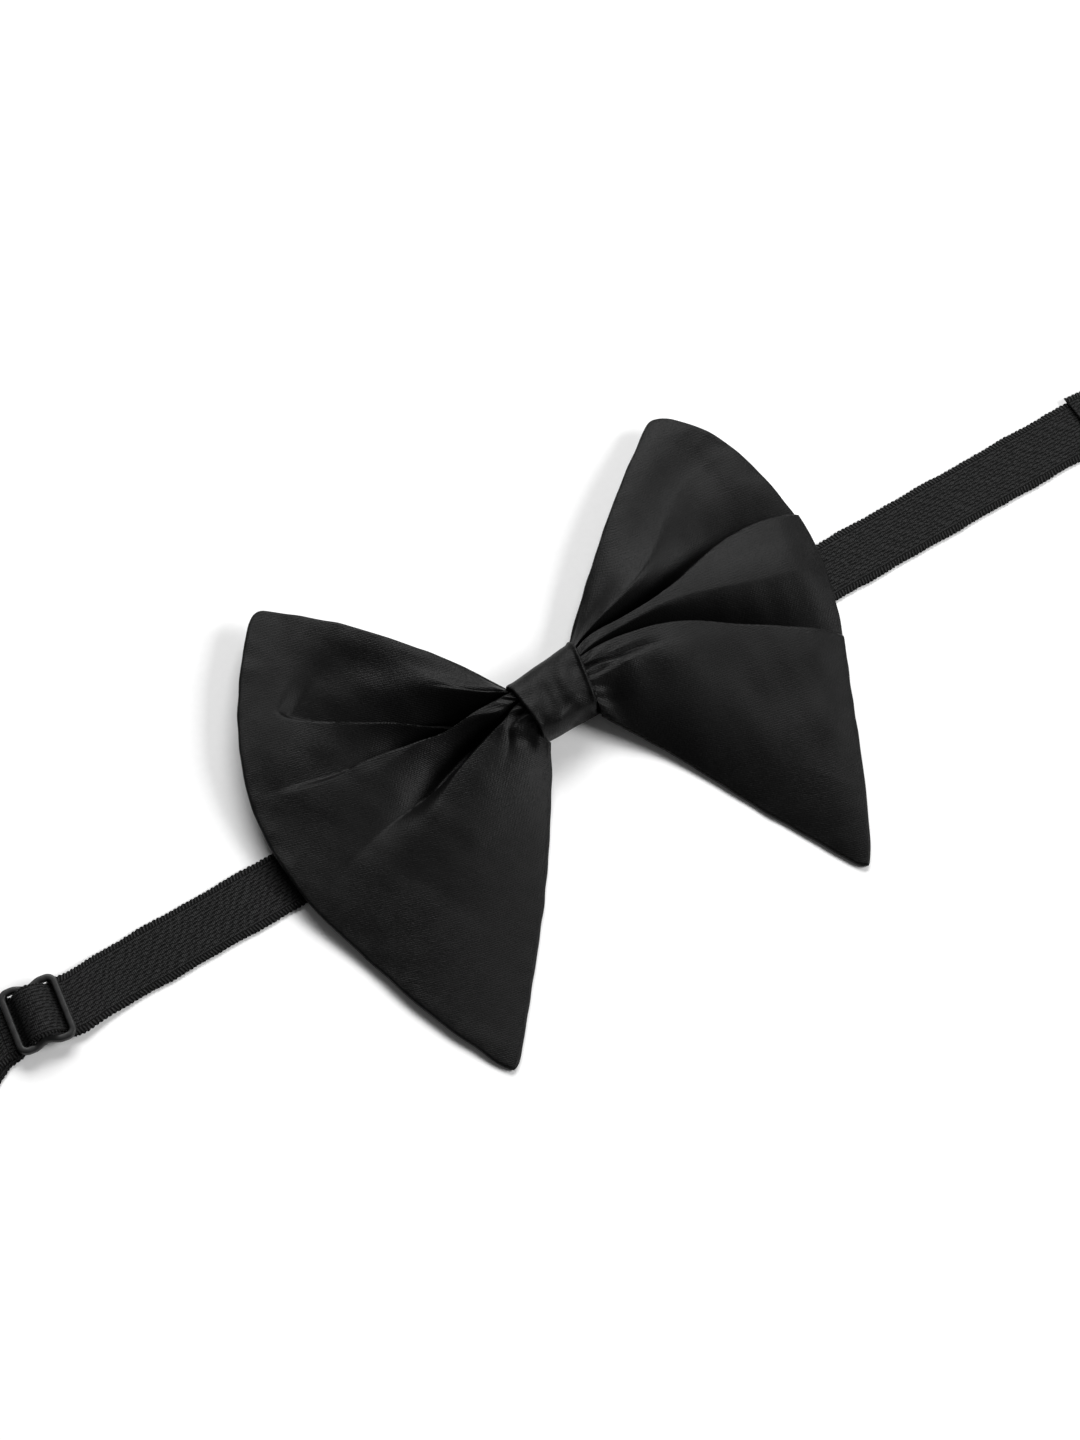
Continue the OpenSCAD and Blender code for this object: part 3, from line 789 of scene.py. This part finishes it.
def make_knot(rows=120, columns=240):
    """The band of satin round the waist: its outside, two rolled ends and the inside."""
    turn = around(columns)
    rings = [knot_surface(turn, u, 0.0, 0.0) for u in np.linspace(0, 1, rows)]
    rings += knot_end(turn, 1.0, 1, (40, 80, 120, 160))
    rings += [knot_surface(turn, u, 2 * WRAP_R, 0.0) for u in np.linspace(1, 0, 12)]
    rings += knot_end(turn, 0.0, -1, (160, 120, 80, 40))
    faces = grid_faces(len(rings), columns, True, True)
    return outward(mesh_object("knot_cloth", np.concatenate(rings), faces, SATIN))


def ridge(x, width):
    """A bump 1 high at x = 0."""
    return np.exp(-(x / width) ** 2)


def knot_surface(turn, u, inset, beyond):
    """One ring of the knot at u from its left end to its right end."""
    y, z = knot_ring(turn, inset, u)
    front = smooth((z - 1.5) / 5)
    left = KNOT_X[0] - 0.35 * front * np.clip((y - 3) / 6, -1, 1)
    right = KNOT_X[1] - 0.6 * front + 1.6 * front * np.clip((y - 3) / 7, -1.2, 1)
    x = left + (right - left) * u + beyond
    # one ridge and three creases run round the knot, over the front
    crease = 0.26 * ridge(x - 1.0 - 0.25 * y, 1.7) - 0.2 * ridge(x - 4.6 - 0.2 * y, 1.7)
    crease -= 0.25 * ridge(x + 4.4 - 0.14 * y, 1.5) + 0.15 * ridge(x + 1.6 - 0.2 * y, 1.2)
    crease = crease * np.clip((10 - y) / 4, 0, 1)
    lip = 0.36 * ridge(u - 1, 0.035) + 0.12 * ridge(u, 0.06)
    low = np.clip((2 - y) / 5, 0, 1)
    notch = (0.7 * ridge(x + 4.6, 2.4) - 0.5 * ridge(x - 0.1, 1.5)) * low ** 2
    soft = 0.14 * ripples(x, y * 1.3 + z, 6.5, 41)
    push = front * (crease * (0.8 + 0.3 * np.sin(y * 0.5 + 0.6)) + lip + notch + soft)
    out_y, out_z = np.cos(turn), np.sin(turn)
    return np.c_[x, y + out_y * push, z + out_z * push]


def place_knot():
    knot = make_knot()
    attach(knot, "bow")
    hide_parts("knot_wrap")


def place_lining():
    """Thin stiff lining just inside the wrap."""
    columns = 96
    turn = around(columns)
    rings = []
    for inset, xs in ((0.95, (-8.4, -4, 0, 4, 6.2)), (1.2, (6.2, 4, 0, -4, -8.4))):
        for x in xs:
            y, z = knot_ring(turn, inset)
            rings.append(np.c_[np.full(columns, x), y, z])
    tube = outward(mesh_object("knot_lining_cloth", np.concatenate(rings),
                               grid_faces(len(rings), columns, True, True), LINING))
    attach(tube, "bow")
    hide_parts("knot_lining")


def place_core():
    """The gathered middle of the bow, pleated lengthways and drawn in at its centre."""
    rows, columns, pleats = 40, 160, 17
    turn = around(columns)
    rings = []
    for x in np.linspace(-9, 7.1, rows):
        y, z = knot_ring(turn, 1.75)
        drawn = 0.25 * math.exp(-(x / 2.5) ** 2)
        pleat = 0.22 * np.sin(turn * pleats + 0.25 * math.sin(x)) - drawn
        y, z = y + np.cos(turn) * pleat, z + np.sin(turn) * pleat
        rings.append(np.c_[np.full(columns, x), y, np.maximum(z, 2.55)])
    verts = np.concatenate(rings)
    core = outward(mesh_object("waist_gathers", verts, tube_faces(rows, columns), SATIN))
    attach(core, "bow")
    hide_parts("waist_core")


def place_thread():
    """The thread that draws the middle in, wound round it three times and a bit."""
    turns, pitch = 3.2, 1.15
    at = np.linspace(0, turns, 260)
    y, z = knot_ring(at * 2 * math.pi, 1.6)
    coil = np.c_[-1.9 + at * pitch, y, np.maximum(z, 2.62)]
    thread = swept_object("gather_thread_coil", coil, round_section(0.19, 8), THREAD,
                          across=np.tile((1.0, 0, 0), (len(coil), 1)))
    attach(thread, "bow")
    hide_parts("gather_thread")


def place_stitches():
    """Hand stitches that close the wrap at the back of the knot."""
    parts, spacing = [], 16.5 / 7
    for k in range(-3, 4):
        x = -0.85 + k * spacing
        at = np.linspace(-1, 1, 13)
        bow_path = np.c_[x + 0.25 * at, 3.2 + 0.62 * at, 0.5 - 0.34 * (1 - at ** 2)]
        parts.append(swept_object("stitch_%d" % k, bow_path, round_section(0.14, 8), THREAD))
    stitches = join("knot_back_stitches", parts)
    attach(stitches, "bow")
    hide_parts("knot_stitches")


place_knot()
place_lining()
place_core()
place_thread()
place_stitches()


# ---------------------------------------------------------------- elastic

BAND_T, BAND_HALF = 0.9, 7.5     # thickness and half width of the elastic
BAND_Z = BAND_T / 2              # height of its middle where it lies on the floor
PICOT = 1.1                      # spacing of the small loops along its edges
SLIDER_AT = (-142, 0.6)          # middle of the slider, and its turn in degrees
SLIDER_TURN = 9
WIRE_Z, WIRE_R = 3, 0.8          # height of the slider's wire, and its bar's radius
BAR_X = {"hook": -212, "ring": 172}      # bars that the band's two ends turn round
BAR_Z, BAR_R = 1.95, 0.85        # height and radius of those bars


def on_slider(b, a=0.0):
    """A point in the slider's own turned frame: b along the band, a across it."""
    c, s = math.cos(math.radians(SLIDER_TURN)), math.sin(math.radians(SLIDER_TURN))
    return SLIDER_AT[0] + b * c + a * s, SLIDER_AT[1] - b * s + a * c


def slider_points(path, half):
    """Points of the elastic from (along, height) in the slider's frame."""
    return [(*on_slider(b), z, half, SLIDER_TURN) for b, z in path]


def band_section():
    """Across from -1 to 1 over the top and back underneath, with the share of thickness."""
    half = [(0.3, 1), (0.6, 1), (0.86, 1), (0.95, 0.92), (0.985, 0.62), (1, 0.0)]
    top = [(-v, r) for v, r in reversed(half)] + [(0, 1)] + half
    return np.array(top + [(v, -r) for v, r in top[-2:0:-1]])


def elastic_piece(name, points, seed, thick=BAND_T):
    """A strip of elastic along points of (x, y, height, half width, turn in degrees)."""
    points = np.asarray(points, float)
    dense = spline(points, np.linspace(0, 1, len(points) * 60))
    path, run = even(dense, 0.2)
    turn = np.radians(path[:, 4])
    across = np.c_[np.sin(turn), np.cos(turn), np.zeros(len(path))]
    tangent = np.gradient(path[:, :3], axis=0)
    tangent /= np.linalg.norm(tangent, axis=1)[:, None]
    out = np.cross(tangent, across)
    rng = random.Random(seed)
    size = {k: rng.uniform(0.7, 1.25) for k in range(int(run[-1] / PICOT) + 3)}
    section = band_section()
    verts, uv = [], []
    for q in range(len(path)):
        # the picots of the two edges are half a loop apart, and both edges drift
        k = int(run[q] / PICOT)
        beat = abs(math.sin(math.pi * run[q] / PICOT)) * size[k]
        other = abs(math.sin(math.pi * (run[q] / PICOT + 0.5))) * size[k + 1]
        drift = 0.1 * math.sin(run[q] / 3.7 + seed) + 0.08 * math.sin(run[q] / 1.9)
        for v, r in section:
            edge = np.clip((abs(v) - 0.9) / 0.1, 0, 1)
            loop = 0.34 * (beat if v > 0 else other) - 0.18 + drift
            w = v * path[q, 3] + math.copysign(edge, v) * loop
            lift = thick / 2 * r * (1 - 0.1 * edge)
            verts.append(path[q, :3] + across[q] * w + out[q] * lift)
            uv.append((run[q], v * path[q, 3]))
    faces = tube_faces(len(path), len(section))
    return outward(mesh_object(name, verts, faces, ELASTIC, uv))


def turned_end(x, hand):
    """The elastic's way round a bar at x: along the floor, round, and back on top."""
    turn_r = 1.45
    path = [(x - hand * 8, BAND_Z), (x - hand * 4, 0.47)]
    path += [(x + hand * turn_r * math.cos(k), BAR_Z + turn_r * math.sin(k))
             for k in np.radians(range(-90, 91, 30))]
    path += [(x - hand * 4, 2.9), (x - hand * 9, 1.75), (x - hand * 12, 1.42)]
    return [(px, 0, pz, BAND_HALF, 0) for px, pz in path]


def place_centre():
    """The stretch that runs through the knot, narrowed by it."""
    strip = elastic_piece("elastic_centre", [(x, 3.2, 1.75, 6.0, 0) for x in (-9, 0, 7.4)], 3)
    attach(strip, "bow")
    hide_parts("band_centre")


def flat(*xs):
    """The elastic lying straight on the floor at each x."""
    return [(x, 0, BAND_Z, BAND_HALF, 0) for x in xs]


def root(hand, x):
    """The elastic coming down and widening from the knot's end at x to the floor."""
    out = [(hand * x, 3.2, 1.7, 6, 0), (hand * (x + 2.5), 2.9, 1.6, 6.2, 0),
           (hand * 16, 2.0, 0.8, 6.6, 0), (hand * 20, 1.4, 0.47, 6.9, 0),
           (hand * 25, 0.6, BAND_Z, 7.3, 0)]
    return out + flat(hand * 30, hand * 45)


def place_left_band():
    """The part below the left wing, which bends beside the knot."""
    near = elastic_piece("elastic_left", root(-1, 9.3) + flat(-60), 5)
    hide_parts("band_left")
    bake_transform(near)


def place_left_run():
    """The long run up to the slider, and the hump over its centre bar."""
    # along, height and half width: it draws in to pass up and down through the frame
    hump = [(9.17, 1.35, 7.5), (6.2, 1.35, 7.6), (5.2, 1.45, 7.5), (4.2, 2.6, 6.4), (3.4, 3.8, 6.3),
            (2, 5, 6.6), (0, 5.5, 6.8), (-2, 5.1, 6.6), (-3.4, 4, 6.3), (-4.2, 2.6, 6.4),
            (-5.2, 1.5, 7.4), (-6.2, 1.38, 7.5), (-9.2, 1.38, 7.4)]
    over = [(*on_slider(b), z, half, SLIDER_TURN) for b, z, half in hump]
    start = flat(-60.05, -90, -112) + [(-120, -0.05, 0.47, 7.5, 1), (-126, -0.25, 0.8, 7.45, 4)]
    run = elastic_piece("elastic_left_run", start + over, 7)
    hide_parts("band_left_run", "band_hump")
    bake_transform(run)


def place_slider_end():
    """The band's end, turned round the slider's centre bar from below and sewn to itself."""
    turn_r = WIRE_R + 0.03 + BAND_T / 2
    tail = [(*on_slider(-9.2, -2.4), BAND_Z, 6.4, 16), (*on_slider(-5, -1.3), BAND_Z, 6.0, 13)]
    wrap = [(-3, 0.75), (-1.4, 1.4)]
    wrap += [(turn_r * math.cos(k), WIRE_Z + turn_r * math.sin(k))
             for k in np.radians(range(-75, 196, 30))]
    wrap += [(-1.9, 2.2), (-2.7, 1.72), (-3.6, 1.55)]
    end = elastic_piece("elastic_slider_end", tail + slider_points(wrap, 5.7), 9, 0.76)
    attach(end, "slider")
    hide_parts("slider_end_fold")


def place_loop():
    """From the slider to the hook's bar and back; the lower layer swings out to one side."""
    loop = slider_points([(-9.23, 1.38)], 7.4)
    loop += [(-157, 0.9, 1.38, 7.4, 4), (-163, 0, 1.38, 7.5, 0), (-180, 0, 1.38, 7.5, 0)]
    loop += turned_end(BAR_X["hook"], -1)[::-1]
    loop += [(-190, -3.2, BAND_Z, 7.5, -8), (-176, -5.6, BAND_Z, 7.5, -3), (-165, -5.2, BAND_Z, 7.4, 8),
             (-158, -3.2, BAND_Z, 7.0, 16), (*on_slider(-9.23, -2.4), BAND_Z, 6.4, 16)]
    back = elastic_piece("elastic_loop", loop, 11)
    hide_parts("band_loop_upper", "band_loop_lower", "band_loop_turn")
    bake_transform(back)


def place_right_elastic():
    """From the knot to the ring's bar, round it and back on top of itself."""
    path = root(1, 7.8) + flat(90, 135) + turned_end(BAR_X["ring"], 1)
    path += [(155, 0.3, 1.38, 7.5, 0), (148.3, 0.7, 1.38, 7.5, 0)]
    band = elastic_piece("elastic_right", path, 13)
    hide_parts("band_right", "band_right_fold")
    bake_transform(band)


place_centre()
place_left_band()
place_left_run()
place_slider_end()
place_loop()
place_right_elastic()


# ---------------------------------------------------------------- slider, hook, ring, bartacks

def slider_outline(inset):
    """The slider's plan, a waist between two lobes at each side, drawn in by inset."""
    half_b, half_a, waist, round_r = 7, 8.3, 7.3, 2.4
    side = [(b, waist + (half_a - waist) * float(smooth(abs(b) / 3.5)) - inset)
            for b in np.linspace(-4.4, 4.4, 45)]
    corner = round_r - inset
    bend = [(half_b - round_r + corner * math.sin(k), half_a - round_r + corner * math.cos(k))
            for k in np.radians(np.arange(8, 91, 8))]
    end = [(half_b - inset, a) for a in np.linspace(5.3, 0.6, 10)]
    quarter = bend + end
    top = [(-b, a) for b, a in reversed(quarter)] + side + quarter
    return top + [(b, -a) for b, a in reversed(top)]


def place_slider():
    """A bent wire frame with a centre bar for the band."""
    path = np.array([(*on_slider(b, a), WIRE_Z) for b, a in slider_outline(0.7)])
    section = soft_rectangle(0.8, 0.85, 3.6, 28)
    frame_wire = swept_object("slider_wire", path, section, COATED, closed=True)
    bar_path = np.array([(*on_slider(0, a), WIRE_Z) for a in np.linspace(-6.5, 6.5, 60)])
    bar = swept_object("slider_bar", bar_path, round_section(WIRE_R, 20), COATED)
    whole = join("slider_frame", [frame_wire, bar])
    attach(whole, "slider")
    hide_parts("slider")


def wire_loop(name, x0, x1, radius):
    """A wire bent to a closed rectangle with round corners, from x0 to x1."""
    half, path = 8.65, []
    for cx, cy, start in ((x1 - radius, half - radius, 0), (x0 + radius, half - radius, 90),
                          (x0 + radius, -half + radius, 180), (x1 - radius, -half + radius, 270)):
        path += [(cx + radius * math.cos(k), cy + radius * math.sin(k), BAR_Z)
                 for k in np.radians(range(start, start + 91, 10))]
    path = even(np.array(path + path[:1]), 0.4)[0][:-1]
    return swept_object(name, path, round_section(BAR_R, 18), METAL, closed=True)


def place_hook():
    """A wire loop that holds the band, and a flat tongue bent back over it."""
    far = -217.5
    wire = wire_loop("hook_wire", far, BAR_X["hook"], 1.6)
    bend_x, bend_r = -224.5, 1.6
    tongue = [(far, BAR_Z), (-221, BAR_Z)]
    tongue += [(bend_x + bend_r * math.cos(k), BAR_Z + bend_r + bend_r * math.sin(k))
               for k in np.radians(range(-90, -271, -18))]
    tongue += [(-220.5, 5.15), (-219, 5.65)]
    path = even(spline(tongue, np.linspace(0, 1, 300)), 0.25)[0]
    path = np.c_[path[:, 0], np.zeros(len(path)), path[:, 1]]
    plate = swept_object("hook_tongue", path, soft_rectangle(4, 0.45, 5, 32), METAL,
                         across=np.tile((0, 1.0, 0), (len(path), 1)))
    whole = join("hook_frame", [wire, outward(plate)])
    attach(whole, "hook")
    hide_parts("hook")


def place_ring():
    """A plain wire loop that the hook catches."""
    wire = wire_loop("ring_frame", BAR_X["ring"], 181, 1.8)
    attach(wire, "ring")
    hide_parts("ring")


def zigzag(name, node, body, along, across, z, pitch, to_row):
    """A bartack: thread to and fro across a line. to_row places its points on the row."""
    count = int(2 * across / pitch)
    path = []
    for k in range(count + 1):
        a = -across + 2 * across * k / count
        side = along / 2 * (1 if k % 2 else -1)
        path += [(-side * 0.6, a - pitch * 0.2, z - 0.08), (side, a, z)]
    plan = even(spline(path, np.linspace(0, 1, count * 12)), 0.12)[0]
    rows = np.array([(*to_row(b, a), h) for b, a, h in plan])
    thread = swept_object(name, rows, round_section(0.15, 6), THREAD)
    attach(thread, body)
    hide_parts(node)


place_slider()
place_hook()
place_ring()
zigzag("slider_bartack_thread", "slider_bartack", "slider", 0.8, 4.5, 2.22, 0.4,
       lambda b, a: on_slider(b - 3.25, a))
zigzag("ring_bartack_thread", "ring_bartack", "strap_right", 1.0, 6.5, 1.92, 0.4,
       lambda b, a: (152 + b, a + 0.5))
